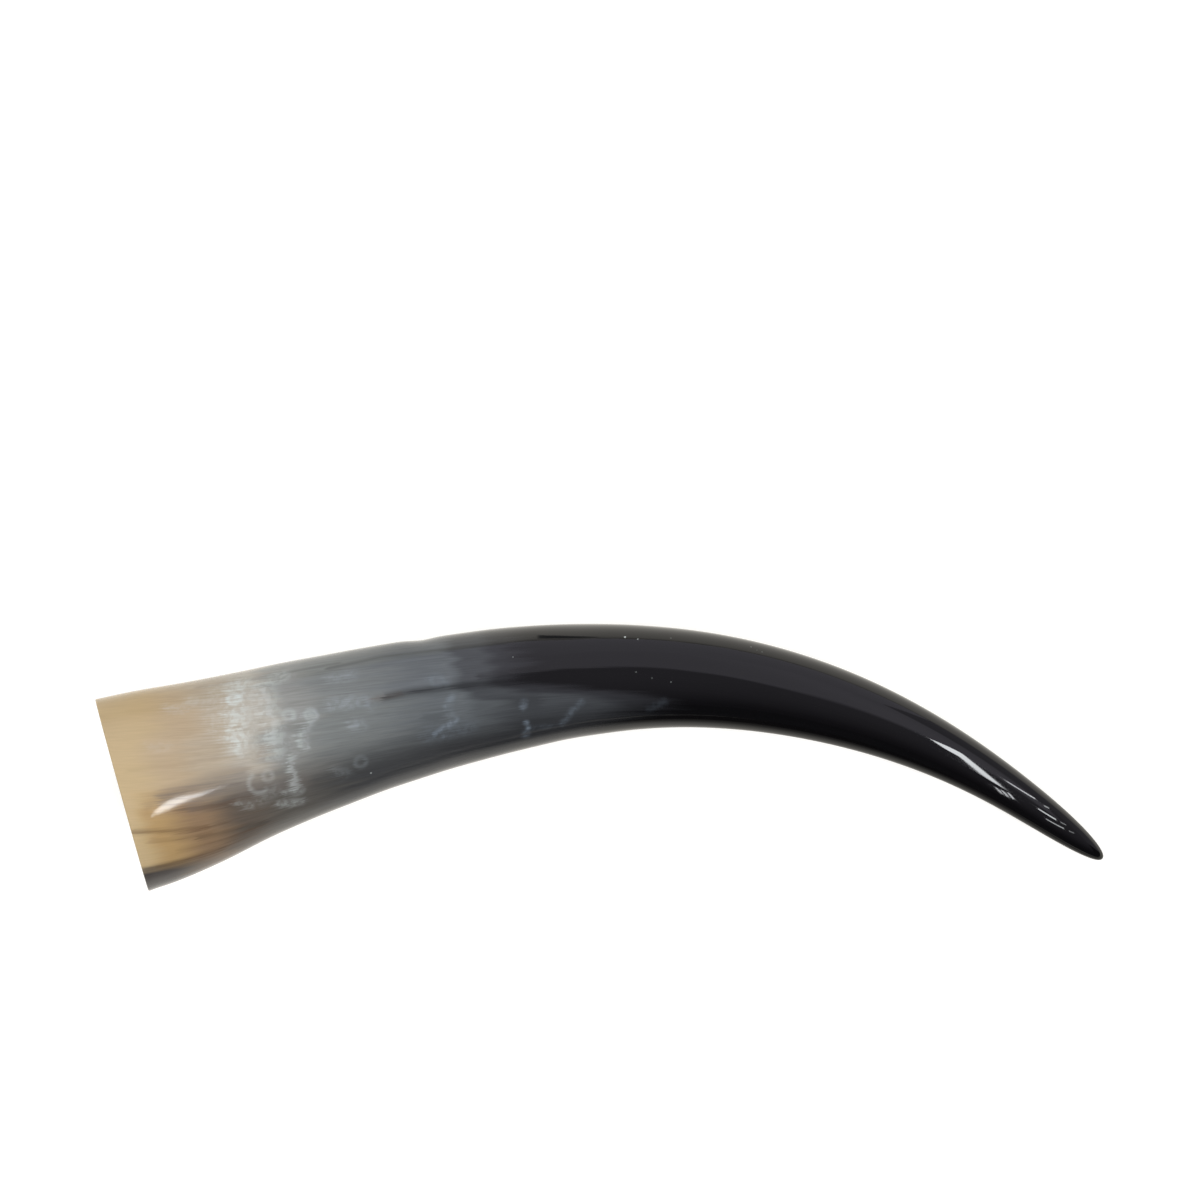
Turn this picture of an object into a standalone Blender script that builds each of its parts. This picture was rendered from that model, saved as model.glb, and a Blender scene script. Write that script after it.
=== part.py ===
"""A polished cow horn, lying on its side: one hollow piece, open at the sawn mouth and solid towards the tip.

The horn grows along a centreline that curves in plan. Each station below gives the distance from the mouth
along that line, the way the line heads, and half the horn's width there. Everything between the stations
follows smooth curves through them. Units are metres. +X runs from the mouth to the tip, the outside of the
bend faces +Y, and Z = 0 is the surface that the horn lies on.
"""

from math import cos, pi, sin

import bmesh
import bpy
import numpy as np
from mathutils import Vector

LENGTH = 0.4249  # along the centreline, from the mouth to the tip

# Distance from the mouth, heading in degrees from +X towards +Y, and half width
STATIONS = [
    (0.0000, 15.6, 0.0401),
    (0.0082, 16.1, 0.0398),
    (0.0432, 18.3, 0.0355),
    (0.0832, 15.9, 0.0312),
    (0.1232, 13.1, 0.0279),
    (0.1682, 8.5, 0.0248),
    (0.2132, 0.7, 0.0214),
    (0.2582, -9.3, 0.0184),
    (0.3032, -18.9, 0.0150),
    (0.3482, -28.2, 0.0110),
    (0.3832, -34.3, 0.0081),
    (0.4082, -36.6, 0.0056),
]

# The horn is an oval at the mouth and round at the tip: height over width at each distance
ROUNDNESS = [(0.0, 0.86), (0.17, 0.92), (0.32, 0.96), (LENGTH, 1.0)]

CORE_LENGTH = 0.265  # how deep the hollow that held the bony core reaches
CORE_SHARE = 0.91  # the hollow's width over the horn's, at the mouth
CORE_BEND = 2.2  # how late the hollow starts to narrow
CORE_NOSE = 0.75  # how pointed the hollow's end is
RIM_BREAK = 0.0005  # the sanded edge on both sides of the sawn rim

SAW_LEAN = 0.168  # the saw cut leans, so that the mouth faces a little upwards
SAW_LEAN_REACH = 0.070  # the sections straighten up over this distance

TIP_LIFT = 0.004  # how far the tip turns up from the surface
TIP_LIFT_FROM = 0.320

STEEPEST = 0.35  # the sections near the tip's round end lean no further than this

SIDES = 44
OUTER_RINGS = 52
CORE_RINGS = 26
RING_CROWDING = 1.6  # above 1 the rings crowd towards the tip

HORN_COLOUR = (0.10, 0.09, 0.085, 1.0)


def smooth_curve(knots, values):
    """A natural cubic spline through the knots, as a function of distance."""
    knots = np.array(knots, float)
    values = np.array(values, float)
    gaps = np.diff(knots)
    slopes = np.diff(values) / gaps
    count = len(knots)
    system = np.eye(count)
    target = np.zeros(count)
    for i in range(1, count - 1):
        system[i, i - 1 : i + 2] = gaps[i - 1], 2 * (gaps[i - 1] + gaps[i]), gaps[i]
        target[i] = 6 * (slopes[i] - slopes[i - 1])
    bend = np.linalg.solve(system, target)

    def curve(at):
        i = np.clip(np.searchsorted(knots, at) - 1, 0, count - 2)
        before = at - knots[i]
        after = knots[i + 1] - at
        gap = gaps[i]
        return (
            (bend[i] * after**3 + bend[i + 1] * before**3) / (6 * gap)
            + (values[i] / gap - bend[i] * gap / 6) * after
            + (values[i + 1] / gap - bend[i + 1] * gap / 6) * before
        )

    return curve


class Horn:
    """The centreline and the oval sections of the horn."""

    STEPS = 2000

    def __init__(self):
        distance, heading, half_width = np.array(STATIONS).T
        self.heading = smooth_curve(distance, np.radians(heading))
        # Divided by the root of what is left to the tip, the width stays finite and the tip ends round
        self.fullness = smooth_curve(distance, half_width / np.sqrt(LENGTH - distance))
        self.roundness = smooth_curve(*np.array(ROUNDNESS).T)
        self.line = self.trace_centreline()

    def half_width(self, distance):
        return self.fullness(distance) * np.sqrt(np.maximum(LENGTH - distance, 0))

    def half_height(self, distance):
        return self.half_width(distance) * self.roundness(distance)

    def trace_centreline(self):
        """Distance, x, y, z and climb along the line, with the horn's underside on the surface."""
        distance = np.linspace(0, LENGTH, self.STEPS)
        step = distance[1]
        heading = self.heading(distance)
        x = np.cumsum(np.cos(heading)) * step
        y = np.cumsum(np.sin(heading)) * step
        half_height = self.half_height(distance)
        lift = TIP_LIFT * np.maximum((distance - TIP_LIFT_FROM) / (LENGTH - TIP_LIFT_FROM), 0) ** 2
        lean = SAW_LEAN * np.maximum(1 - distance / SAW_LEAN_REACH, 0) ** 2
        climb = np.clip(np.gradient(half_height + lift, step) - lean, -STEEPEST, STEEPEST)
        z = half_height / np.sqrt(1 + climb**2) + lift
        return distance, x, y, z, climb

    def section(self, distance):
        """The centre of a section, and the directions of its half width and half height."""
        table = self.line
        x, y, z, climb = (np.interp(distance, table[0], column) for column in table[1:])
        heading = float(self.heading(distance))
        side = Vector((-sin(heading), cos(heading), 0))
        along = Vector((cos(heading), sin(heading), climb)).normalized()
        return Vector((x, y, z)), side, along.cross(side)


def ring(horn, distance, half_width, half_height):
    """The corners of one oval ring, from the outside of the bend over the top and back."""
    centre, side, up = horn.section(distance)
    turns = [2 * pi * i / SIDES for i in range(SIDES + 1)]
    return [centre + side * half_width * cos(t) + up * half_height * sin(t) for t in turns]


def core_share(distance):
    """The hollow's width over the horn's, which closes to a point at the hollow's end."""
    return CORE_SHARE * (1 - (distance / CORE_LENGTH) ** CORE_BEND) ** CORE_NOSE


def rings_of(horn):
    """Every ring in order: from the tip down the outside, over the rim and up the hollow."""
    rings = []
    for i in range(OUTER_RINGS):
        left = (i / OUTER_RINGS) ** RING_CROWDING
        distance = LENGTH * (1 - left)
        rings.append((distance, horn.half_width(distance), horn.half_height(distance)))
    width, height = horn.half_width(0), horn.half_height(0)
    core_width, core_height = width * CORE_SHARE, height * CORE_SHARE
    rings += [
        (RIM_BREAK, horn.half_width(RIM_BREAK), horn.half_height(RIM_BREAK)),
        (0, width - RIM_BREAK, height - RIM_BREAK),
        (0, core_width + RIM_BREAK, core_height + RIM_BREAK),
        (RIM_BREAK, core_width, core_height),
    ]
    for i in range(1, CORE_RINGS + 1):
        distance = CORE_LENGTH * (1 - (1 - i / CORE_RINGS) ** RING_CROWDING)
        share = core_share(distance)
        rings.append((distance, horn.half_width(distance) * share, horn.half_height(distance) * share))
    return [ring(horn, *each) for each in rings]


def build_horn(collection):
    """A grid wrapped round the horn: its columns go round, its rows run from the tip to the hollow's end."""
    rings = rings_of(Horn())
    shape = bmesh.new()
    bmesh.ops.create_grid(shape, x_segments=SIDES, y_segments=len(rings) - 1, size=0.5)
    shape.verts.ensure_lookup_table()
    across = SIDES + 1
    for i, corner in enumerate(shape.verts):
        corner.co = rings[i // across][i % across]
    bmesh.ops.remove_doubles(shape, verts=shape.verts, dist=1e-6)
    bmesh.ops.triangulate(shape, faces=shape.faces)
    bmesh.ops.recalc_face_normals(shape, faces=shape.faces)
    low, high = (Vector([pick(c.co[k] for c in shape.verts) for k in range(3)]) for pick in (min, max))
    middle = (low + high) / 2
    bmesh.ops.translate(shape, verts=shape.verts, vec=(-middle.x, -middle.y, -low.z))
    mesh = bpy.data.meshes.new("horn")
    shape.to_mesh(mesh)
    shape.free()
    mesh.shade_smooth()
    mesh.set_sharp_from_angle(angle=pi / 5)
    horn = bpy.data.objects.new("horn", mesh)
    horn.data.materials.append(keratin())
    collection.objects.link(horn)
    return horn


def keratin():
    """Dark, polished horn."""
    material = bpy.data.materials.new("keratin")
    material.use_nodes = True
    shader = material.node_tree.nodes["Principled BSDF"]
    shader.inputs["Base Color"].default_value = HORN_COLOUR
    shader.inputs["Roughness"].default_value = 0.2
    shader.inputs["Metallic"].default_value = 0.0
    return material


def main():
    for leftover in list(bpy.data.objects):
        bpy.data.objects.remove(leftover)
    collection = bpy.data.collections.new("cow_horn")
    bpy.context.scene.collection.children.link(collection)
    build_horn(collection)


main()
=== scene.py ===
"""The looks of a polished cow horn: a fine mesh in place of the solid, its materials, a studio and a camera.

The horn's grain map gives every spot its distance from the mouth, in metres, and its fibre turn: how far
round the horn the spot lies, in turns from the underside over the outer bend, less the fibres' own winding.
Pigments follow the grain map. Single marks are named by their pixels in the photo, and laid where those
pixels fall on the horn.
"""

from math import pi

import bpy
import numpy as np
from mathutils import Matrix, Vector
from mathutils.bvhtree import BVHTree
from mathutils.geometry import barycentric_transform


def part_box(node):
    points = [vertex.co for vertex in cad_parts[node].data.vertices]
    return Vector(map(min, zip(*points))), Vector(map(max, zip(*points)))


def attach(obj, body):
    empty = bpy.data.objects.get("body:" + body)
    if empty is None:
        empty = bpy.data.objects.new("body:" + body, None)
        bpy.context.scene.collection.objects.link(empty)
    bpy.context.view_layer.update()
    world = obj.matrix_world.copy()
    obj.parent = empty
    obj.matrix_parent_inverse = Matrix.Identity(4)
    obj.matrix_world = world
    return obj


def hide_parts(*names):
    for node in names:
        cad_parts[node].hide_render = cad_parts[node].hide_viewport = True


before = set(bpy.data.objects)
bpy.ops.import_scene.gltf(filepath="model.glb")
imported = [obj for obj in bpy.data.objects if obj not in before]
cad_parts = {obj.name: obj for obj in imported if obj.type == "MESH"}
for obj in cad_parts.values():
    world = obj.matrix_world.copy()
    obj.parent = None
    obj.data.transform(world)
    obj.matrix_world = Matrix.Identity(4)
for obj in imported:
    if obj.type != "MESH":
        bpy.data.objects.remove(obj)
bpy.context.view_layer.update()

# The horn's own form, in metres, as the solid has it
LENGTH = 0.4249  # along the centreline, from the mouth to the tip

# Distance from the mouth, heading in degrees from +X towards +Y, and half width
STATIONS = [
    (0.0000, 15.6, 0.0401),
    (0.0082, 16.1, 0.0398),
    (0.0432, 18.3, 0.0355),
    (0.0832, 15.9, 0.0312),
    (0.1232, 13.1, 0.0279),
    (0.1682, 8.5, 0.0248),
    (0.2132, 0.7, 0.0214),
    (0.2582, -9.3, 0.0184),
    (0.3032, -18.9, 0.0150),
    (0.3482, -28.2, 0.0110),
    (0.3832, -34.3, 0.0081),
    (0.4082, -36.6, 0.0056),
]

# Height over width at each distance
ROUNDNESS = [(0.0, 0.86), (0.17, 0.92), (0.32, 0.96), (LENGTH, 1.0)]

CORE_LENGTH = 0.265  # how deep the hollow reaches
CORE_SHARE = 0.91  # the hollow's width over the horn's, at the mouth
CORE_BEND = 2.2
CORE_NOSE = 0.75
RIM_BREAK = 0.0005  # the sanded edge on both sides of the sawn rim

SAW_LEAN = 0.168
SAW_LEAN_REACH = 0.070
TIP_LIFT = 0.004
TIP_LIFT_FROM = 0.320
STEEPEST = 0.35

# The fine mesh
SIDES = 160
OUTER_RINGS = 420
CORE_RINGS = 110
RING_CROWDING = 1.25  # above 1 the rings crowd towards the tip
CONTACT_AT = (0.020, 0.085, 0.150, 0.215, 0.280, 0.340, 0.390)  # distances where it rests on the surface
BREAK_STEPS = 4  # rings across each broken edge of the rim
SHARP_EDGE = 0.6
CLEAR_OF_RIM = 1.5  # plain rings stay this many broken edges' widths away from the rim
OUTER_BEND = 0.25  # turns from the underside

# The horn's finishes, as places in its list of materials
OUTSIDE, RIM, INSIDE = 0, 1, 2

# Where each finish lies on the map for baking: its low corner, and its size
BAKE_PLACES = {
    OUTSIDE: (0.005, 0.005, 0.99, 0.57),
    RIM: (0.66, 0.60, 0.33, 0.12),
    INSIDE: (0.005, 0.60, 0.99, 0.39),
}

# What the sanding left: depth and length in metres, turns round the horn, and phase
POLISH_WAVES = [
    (0.00012, 0.061, 3, 0.10),
    (0.00010, 0.043, -2, 0.45),
    (0.00006, 0.027, 5, 0.70),
]
DENT_AT = 0.131  # on the outer bend
DENT_DEPTH = 0.0007
DENT_REACH = 0.0055
DENT_SPREAD = 0.06
WAVES_END = 0.27  # the waves fade out over the stretch before this distance
WAVES_FADE = 0.09
RIM_FADE = 0.004

# The uneven wall of the hollow, in the terms of the waves
CORE_WAVES = [
    (0.00022, 0.150, 23, 0.0),
    (0.00014, 0.090, -37, 0.3),
    (0.00030, 0.110, 3, 0.6),
]
CORE_FADE = 0.08

# The fibres wind back round the horn by this much in all, most of it near the mouth
GRAIN_DRIFT = 0.197
GRAIN_DRIFT_REACH = 0.19
GRAIN_RADIUS = 0.03  # the horn's mean radius, which sets the scale of the grain round it

# The camera looks straight down from above the middle of the photo
PHOTO_WIDTH = 1200
CAMERA_PLACE = Vector((-0.0016, 0.0634, 1.150))
CAMERA_LENS = 83.15
SENSOR = 36.0
FOCAL_PIXELS = CAMERA_LENS / SENSOR * PHOTO_WIDTH
FAR_CLIP = 20.0

# Pigments, in sRGB
TAN = (201, 178, 139)
SAND = (189, 168, 139)
FAWN = (183, 168, 147)
ASH = (181, 173, 161)
PEWTER = (148, 149, 146)
STEEL = (123, 127, 127)
SLATE = (96, 101, 105)
LEAD = (68, 71, 75)
CHARCOAL = (44, 45, 49)
BLACK = (8, 7, 9)
AMBER = (182, 152, 107)
UMBER = (146, 121, 95)
TAUPE = (100, 91, 83)
GRAPHITE = (93, 90, 86)
INK = (66, 67, 69)
DEEP_INK = (46, 47, 50)
BRUISE = (78, 73, 71)
HAZE = (112, 106, 102)
CLOUD = (221, 229, 228)
BLUE_CLOUD = (150, 165, 182)
BARK = (92, 68, 48)
HONEY = (190, 156, 98)
SAWN_PALE = (206, 186, 152)
SAWN_DULL = (158, 138, 112)
SAWN_SCRATCH = (128, 108, 84)
HOLLOW_PALE = (196, 170, 126)
HOLLOW_STAIN = (150, 118, 80)
HOLLOW_DEEP = (132, 108, 82)
HOLLOW_DEEP_STAIN = (84, 66, 50)
HOLLOW_RIB = (92, 70, 48)

# Pigments by distance from the mouth, in metres
TOP_PIGMENTS = [
    (0.006, TAN),
    (0.022, SAND),
    (0.038, FAWN),
    (0.053, ASH),
    (0.068, PEWTER),
    (0.092, STEEL),
    (0.130, SLATE),
    (0.146, SLATE),
    (0.164, LEAD),
    (0.186, LEAD),
    (0.208, CHARCOAL),
    (0.232, BLACK),
]
LOWER_PIGMENTS = [
    (0.001, TAN),
    (0.011, AMBER),
    (0.026, UMBER),
    (0.043, TAUPE),
    (0.064, GRAPHITE),
    (0.100, INK),
    (0.180, DEEP_INK),
    (0.222, BLACK),
]

# Where the pigments meet, in fibre turns
LOWER_EDGE = (0.508, 0.462)  # at the mouth, and well inward
LOWER_SOFT = (0.030, 0.055)
BRUISE_MIDDLE = 0.72
BRUISE_HALF = 0.085
UPPER_LEAD = 0.055  # the outer bend turns black this much nearer the mouth, in metres
UPPER_LAG = 0.009  # and stays tan this much further in
HONEY_STRENGTH = 0.6  # of the yellower tint on the outer bend at the mouth

# Noise in the pigments: how far it is drawn out along the fibres, its scale, detail and roughness
BROAD_GRAIN = (5, 70, 3)
STREAK_GRAIN = (14, 300, 3, 0.55)
FIBRE_GRAIN = (22, 900, 3, 0.6)
HAIR_GRAIN = (20, 1700, 2, 0.6)
RIB_GRAIN = (9, 420, 4, 0.6)
STAIN_GRAIN = (3, 60, 4, 0.55)

# How far the noise pushes things about
FINGER_SHARES = (0.030, 0.034, 0.012)  # pigments along the horn: by the broad grain, streaks and fibres
BORDER_SHARES = (0.05, 0.02)  # the lower border round the horn: by streaks and fibres
BRUISE_STREAKS = 0.03
STRAND_STREAKS = 0.7

# Eased changes by distance from the mouth: where each starts and ends, and what holds there if not 0 and 1
FINGERS_GROW = (0.0, 0.10, 0.25, 1.0)
UPPER_LEADS = (0.128, 0.168, 0.0, UPPER_LEAD)
UPPER_LAGS = (0.10, 0.06, 0.0, -UPPER_LAG)
LOWER_EDGE_MOVES = (0.0, 0.16, *LOWER_EDGE)
LOWER_EDGE_SOFTENS = (0.04, 0.09, *LOWER_SOFT)
HONEY_REACH = (0.042, 0.016)
BRUISE_SOFTENS = (0.0, 0.03, 0.011, 0.03)
BRUISE_REACH = (0.044, 0.010)
LINES_STRENGTHEN = (0.02, 0.09, 0.2, 1.0)
HAIRS_STRENGTHEN = (0.01, 0.05, 0.4, 1.0)
STRANDS_START = (0.004, 0.02)
STRANDS_END = (0.07, 0.04)
CLOUDS_TURN_BLUE = (0.05, 0.13)
CALMING = (0.1, 0.3, 1.0, 0.03)
ROUGHNESS = (0.05, 0.30, 0.12, 0.035)
HOLLOW_DARKENS = (0.05, 0.17)

# The same by fibre turn
UPPER_SIDE = (0.43, 0.36)
LOWER_SIDE_ENDS = (0.85, 0.78)
HONEY_SIDE = (0.40, 0.27)

# The same by the noise itself
STREAK_SHADE = (-0.25, 0.25, -0.07, 0.07)
FIBRE_SHADE = (-0.2, 0.2, -0.08, 0.08)
HAIR_SHADE = (-0.2, 0.2, -0.07, 0.07)
STRAND_SHADE = (0.02, 0.22, 0.0, 0.45)
PATCH_SHADE = (0.36, 0.6, 0.45, 1.15)
SAWN_SHADE = (0.35, 0.7)
SCRATCH_SHADE = (0.55, 0.75, 0.0, 0.5)
STAIN_SHADE = (0.35, 0.68)
RIB_SHADE = (0.5, 0.72, 0.0, 0.55)

# Marks, drawn out along the fibres and broken by them
ALONG_FIBRES = (0.98, 0.18, 0.0)
DRAWN_OUT = (1.0, 0.7, 0.3)  # by hairs, fibres and streaks
NEAR_SHIFT = 0.0022
FAR_SHIFT = 0.010
BROKEN = (0.78, 1.5, 1.2)  # plain, by hairs and by fibres
PATCH_NOISE = (420, 2)
CLOUD_STRENGTH = 0.92
RING_STRENGTH = 0.5
RING_FILLING = (1.2, 0.4)  # of the radius, where a ring's filling ends and where it is full
RING_GAP = (0.6, 0.0)  # of the radius towards the open side, where a crescent ends and where it is whole

# The polish, the sawn rim and the wall of the hollow
POLISH_IOR = 1.45
FIBRE_ROUGHNESS = 0.03
STREAK_RELIEF = 0.4
POLISH_BUMP = {"Distance": 0.00006, "Strength": 0.35}
SAW_SQUEEZE = (1.0, 1.0, 14.0)
SCRATCH_NOISE = (260, 3, 0.6)
SAWN_NOISE = (45, 3)
SAWN_BUMP = {"Distance": 0.0002, "Strength": 0.6}
STAIN_PUSH = 0.05
HOLLOW_BUMP = {"Distance": 0.0006, "Strength": 0.7}

# Pale rings: pixel, radius in millimetres, strength, and how far they are filled
PALE_RINGS = [
    ((234, 699), 2.3, 1.25, 0.55),
    ((289, 715), 2.0, 0.48, 0.2),
    ((311, 715), 2.2, 0.6, 0.75),
    ((268, 776), 1.9, 0.32, 0.0),
    ((361, 762), 2.2, 0.20, 0.0),
    ((363, 702), 2.0, 0.22, 0.1),
    ((437, 680), 2.2, 0.13, 0.0),
]

# Pale crescents: the same, and where they open, right and down
PALE_CRESCENTS = [
    ((241, 751), 1.8, 0.7, 0.0, (1.0, -0.3)),
    ((305, 742), 2.6, 0.5, 0.1, (1.0, -0.6)),
    ((259, 783), 4.0, 0.42, 0.0, (1.0, -0.9)),
    ((298, 789), 2.6, 0.2, 0.0, (0.2, -1.0)),
]

# Pale clouds: pixels along them, half width in millimetres, strength
PALE_STROKES = [
    ([(240, 686), (238, 712), (240, 738)], 11.0, 0.62),
    ([(231, 706), (230, 736)], 5.5, 0.60),
    ([(231, 722), (234, 742)], 3.8, 0.5),
    ([(214, 690), (218, 730)], 7.0, 0.22),
    ([(168, 708), (184, 709)], 4.4, 0.22),
    ([(192, 701), (216, 704)], 5.0, 0.20),
    ([(150, 747), (168, 747)], 4.0, 0.10),
    ([(246, 692), (282, 676)], 6.5, 0.46),
    ([(262, 690), (268, 716), (274, 745)], 9.5, 0.46),
    ([(272, 734), (276, 744)], 4.4, 0.40),
    ([(292, 716), (310, 717)], 5.0, 0.18),
    ([(309, 722), (302, 736), (303, 746)], 3.6, 0.30),
    ([(291, 757), (292, 776), (297, 790)], 3.4, 0.40),
    ([(287, 793), (299, 789)], 3.2, 0.26),
    ([(282, 804), (300, 802)], 3.6, 0.28),
    ([(238, 804), (252, 805)], 3.4, 0.18),
    ([(262, 800), (276, 790)], 5.0, 0.10),
    ([(332, 679), (352, 675)], 4.6, 0.20),
    ([(332, 704), (352, 702)], 5.0, 0.27),
    ([(354, 725), (360, 725)], 4.2, 0.26),
    ([(336, 771), (346, 773)], 4.0, 0.12),
    ([(368, 700), (372, 706)], 3.4, 0.18),
    ([(430, 735), (470, 727)], 6.0, 0.09),
]

# Bluish ones further along, in the same terms
BLUE_STROKES = [
    ([(430, 679), (446, 681)], 3.6, 0.10),
    ([(452, 697), (447, 707)], 2.6, 0.22),
    ([(447, 707), (452, 716)], 2.8, 0.12),
    ([(456, 720), (446, 727), (435, 734)], 2.4, 0.30),
    ([(449, 729), (445, 736)], 2.8, 0.14),
    ([(524, 703), (523, 707)], 2.6, 0.26),
    ([(526, 723), (528, 728)], 2.0, 0.50),
    ([(527, 730), (526, 736)], 2.8, 0.14),
    ([(530, 728), (556, 726)], 2.6, 0.07),
    ([(581, 702), (572, 711), (562, 724)], 2.6, 0.14),
    ([(650, 708), (664, 702)], 3.0, 0.06),
]

# Pale specks: pixel, radius in millimetres, strength
PALE_SPECKS = [
    ((371, 773), 0.6, 0.5),
    ((513, 657), 0.4, 0.35),
    ((625, 637), 0.7, 1.0),
    ((638, 639), 0.5, 0.6),
    ((636, 672), 0.5, 0.16),
    ((652, 678), 0.5, 0.12),
    ((671, 682), 0.45, 0.2),
    ((671, 638), 0.4, 0.25),
    ((751, 647), 0.45, 0.3),
    ((757, 650), 0.35, 0.2),
    ((762, 652), 0.4, 0.2),
]

# Dark streaks along the fibres, the third of them a painted dark reflection: pixels along them, half width in
# millimetres, strength
DARK_STREAKS_AND_PAINTED_REFLECTION = [
    ([(386, 697), (410, 692), (448, 687), (500, 683), (560, 680)], 2.9, 0.7),
    ([(480, 677), (520, 671), (560, 668), (600, 667), (659, 669)], 2.6, 0.65),
    # A painted dark reflection: the dark streak that the polish also mirrors from the dim dark_streak sheet
    ([(538, 639), (570, 636), (600, 635), (622, 635)], 1.4, 0.95),
    ([(330, 668), (380, 657), (448, 649), (535, 640)], 2.0, 0.42),
    ([(280, 674), (340, 663)], 1.6, 0.3),
    ([(200, 838), (240, 829), (265, 822)], 2.6, 0.3),
    ([(283, 727), (297, 727)], 3.4, 0.22),
    ([(284, 744), (290, 762)], 3.4, 0.22),
    ([(256, 733), (266, 733)], 2.6, 0.16),
    ([(427, 717), (440, 717)], 3.0, 0.22),
    ([(478, 707), (505, 703), (535, 700)], 6.0, 0.34),
]

# Bluish grey patches round the base highlight, in the same terms
GREY_STREAKS = [
    ([(166, 798), (188, 790), (214, 780), (240, 774)], 5.6, 0.55),
    ([(196, 801), (222, 791), (262, 786), (300, 782)], 7.0, 0.62),
    ([(150, 806), (170, 793)], 3.4, 0.16),
]

# Brown lines along the fibres, in the same terms
BROWN_STREAKS = [
    ([(133, 832), (150, 832), (176, 831), (206, 827)], 2.2, 0.55),
    ([(150, 841), (180, 839), (214, 832)], 2.0, 0.26),
    ([(176, 852), (206, 844), (236, 835)], 2.2, 0.26),
    ([(160, 866), (190, 858), (225, 847)], 2.2, 0.3),
    ([(200, 687), (240, 681), (262, 677)], 2.2, 0.22),
    ([(370, 700), (400, 694)], 2.2, 0.3),
    ([(257, 746), (257, 758)], 2.0, 0.18),
    ([(263, 746), (263, 758)], 2.0, 0.18),
    ([(128, 771), (175, 765), (215, 758)], 1.6, 0.10),
]

# The studio, with its lights' brightness as radiance
WARM = (1.0, 0.995, 0.985)
DUSK = (0.96, 0.93, 1.06)
COOL = (0.95, 0.98, 1.0)
AIR = (0.9, 0.95, 1.0, 1)
AIR_GLOW = 0.05
KEY = 2.9
KEY_PLACE = (0, 0.05, 1.8)
KEY_SIZE = (2.2, 2.2)
ROOM = 0.88  # how bright the room's far side is
FAR_WALL_PLACE = (-0.25, 2.0, 0.65)
FAR_WALL_SIZE = (4.5, 1.3)
RIGHT_WALL = 0.40
RIGHT_WALL_PLACE = (2.0, 0.875, 0.65)
RIGHT_WALL_SIZE = (2.25, 1.3)
CEILING = (0.08, 0.35)  # near the viewer, and further off

# Where each flat light of the room faces, as turns about the axes
FACINGS = {"down": (0, 0, 0), "-Y": (-pi / 2, 0, 0), "-X": (pi / 2, 0, pi / 2)}

OVERHEAD_HEIGHT = 1.3
OVERHEAD_CORNERS = [(-1.5, -2.2), (2.0, -2.2), (2.0, 2.0), (-1.5, 2.0)]
FAR_BEND = (0.22, 0.60)  # between these, along X, the far side's edge comes nearer
FAR_EDGE = (0.68, 0.16)
FAR_SLANT_FROM = 1.2  # and beyond this it slants away
FAR_SLANT = 1.4
FAR_SOFTENS = (0.35, 0.70)
FAR_SOFT = (0.05, 0.13)
FAR_PEAK = 1.1  # where along X the far side is brightest
FAR_PEAK_REACH = 0.7
FAR_PEAK_GAIN = 0.13
CEILING_FADE = (-1.9, 0.2)  # where along Y the ceiling's brightness changes

# Lamps: the corners of the highlight that each makes, in pixels, its height and its brightness
LAMPS = {
    "base_lamp": (
        [(151, 816), (158, 808), (168, 801), (182, 796), (204, 792)]
        + [(222, 787.5), (205, 794), (186, 801), (168, 810)],
        0.16,
        17,
    ),
    "tip_lamp": (
        [(930, 738.8), (948, 746.5), (962, 753.5), (972, 761.5), (987, 773.8)]
        + [(1002, 787.6), (985, 777.4), (970, 765.4), (959.6, 756.8), (945, 748.8)],
        0.30,
        20,
    ),
    "tip_bar": ([(995, 787.4), (996.8, 787.6), (1002.2, 793.2), (1001, 794.2)], 0.14, 16),
    "tip_middle_bar": ([(1001, 790.2), (1002.6, 790.2), (1008.2, 795.8), (1006.9, 797)], 0.14, 16),
    "tip_last_bar": ([(1007.1, 792.6), (1008.8, 792.6), (1014.2, 798.4), (1012.6, 799.2)], 0.14, 16),
    "tip_line": ([(1006, 780.4), (1035, 798), (1035, 799.2), (1006, 781.4)], 0.40, 16),
    "tip_dash": ([(1038, 808), (1056, 819), (1056, 820.4), (1038, 809.2)], 0.40, 16),
    "tip_end_dash": ([(1046, 818.4), (1064, 828), (1064, 829.2), (1046, 819.4)], 0.40, 10),
    "tip_high_dash": ([(1044, 805), (1049, 807.6), (1049, 808.8), (1044, 806.2)], 0.40, 10),
    "tip_faint_dash": ([(1060.5, 821.6), (1066, 824.4), (1066, 825.4), (1060.5, 822.6)], 0.40, 6),
    "tip_last_dash": ([(1069, 830.4), (1074, 832.6), (1074, 833.6), (1069, 831.4)], 0.40, 5),
    # dark_streak is no lamp: a dim sheet that the polish mirrors as a dark streak
    "dark_streak": (
        [(538, 635.2), (560, 635.6), (585, 636.4), (604, 637.4), (575, 638.2), (538, 638.6)],
        0.001,
        0.22,
    ),
}

# The white surface, as the eye sees it and as the polish does, and the white beyond
FLOOR_HALF = 4.0
TABLE_COLOUR = (0.38, 0.38, 0.375, 1)
TABLE_TINT = (1.0, 0.988, 0.965)
TABLE_GLOW = 0.82
CONTACT_SHADE = 0.75
CARD_HEIGHT = 0.0004
CARD_TINT = (1.0, 0.965, 0.89)
CARD_FALLOFF = (0.15, 1.0, 1.0, 0.42)  # by metres from the middle, and its share there
BACKDROP_HEIGHT = 4.0
BACKDROP_GLOW = 0.86

# The inner bend's outline in plan: its highest point, and how fast it falls off to each side
INNER_TOP = (0.040, 0.0103)
INNER_FALL = (1.35, 2.19)
INNER_TURNS = (-0.03, 0.03)

# How bright the polish finds the surface, by metres below that outline
INNER_SHADE = [(-0.035, 1.12), (-0.012, 0.62), (0.020, 0.46), (0.055, 0.17), (0.090, 0.03)]

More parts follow.
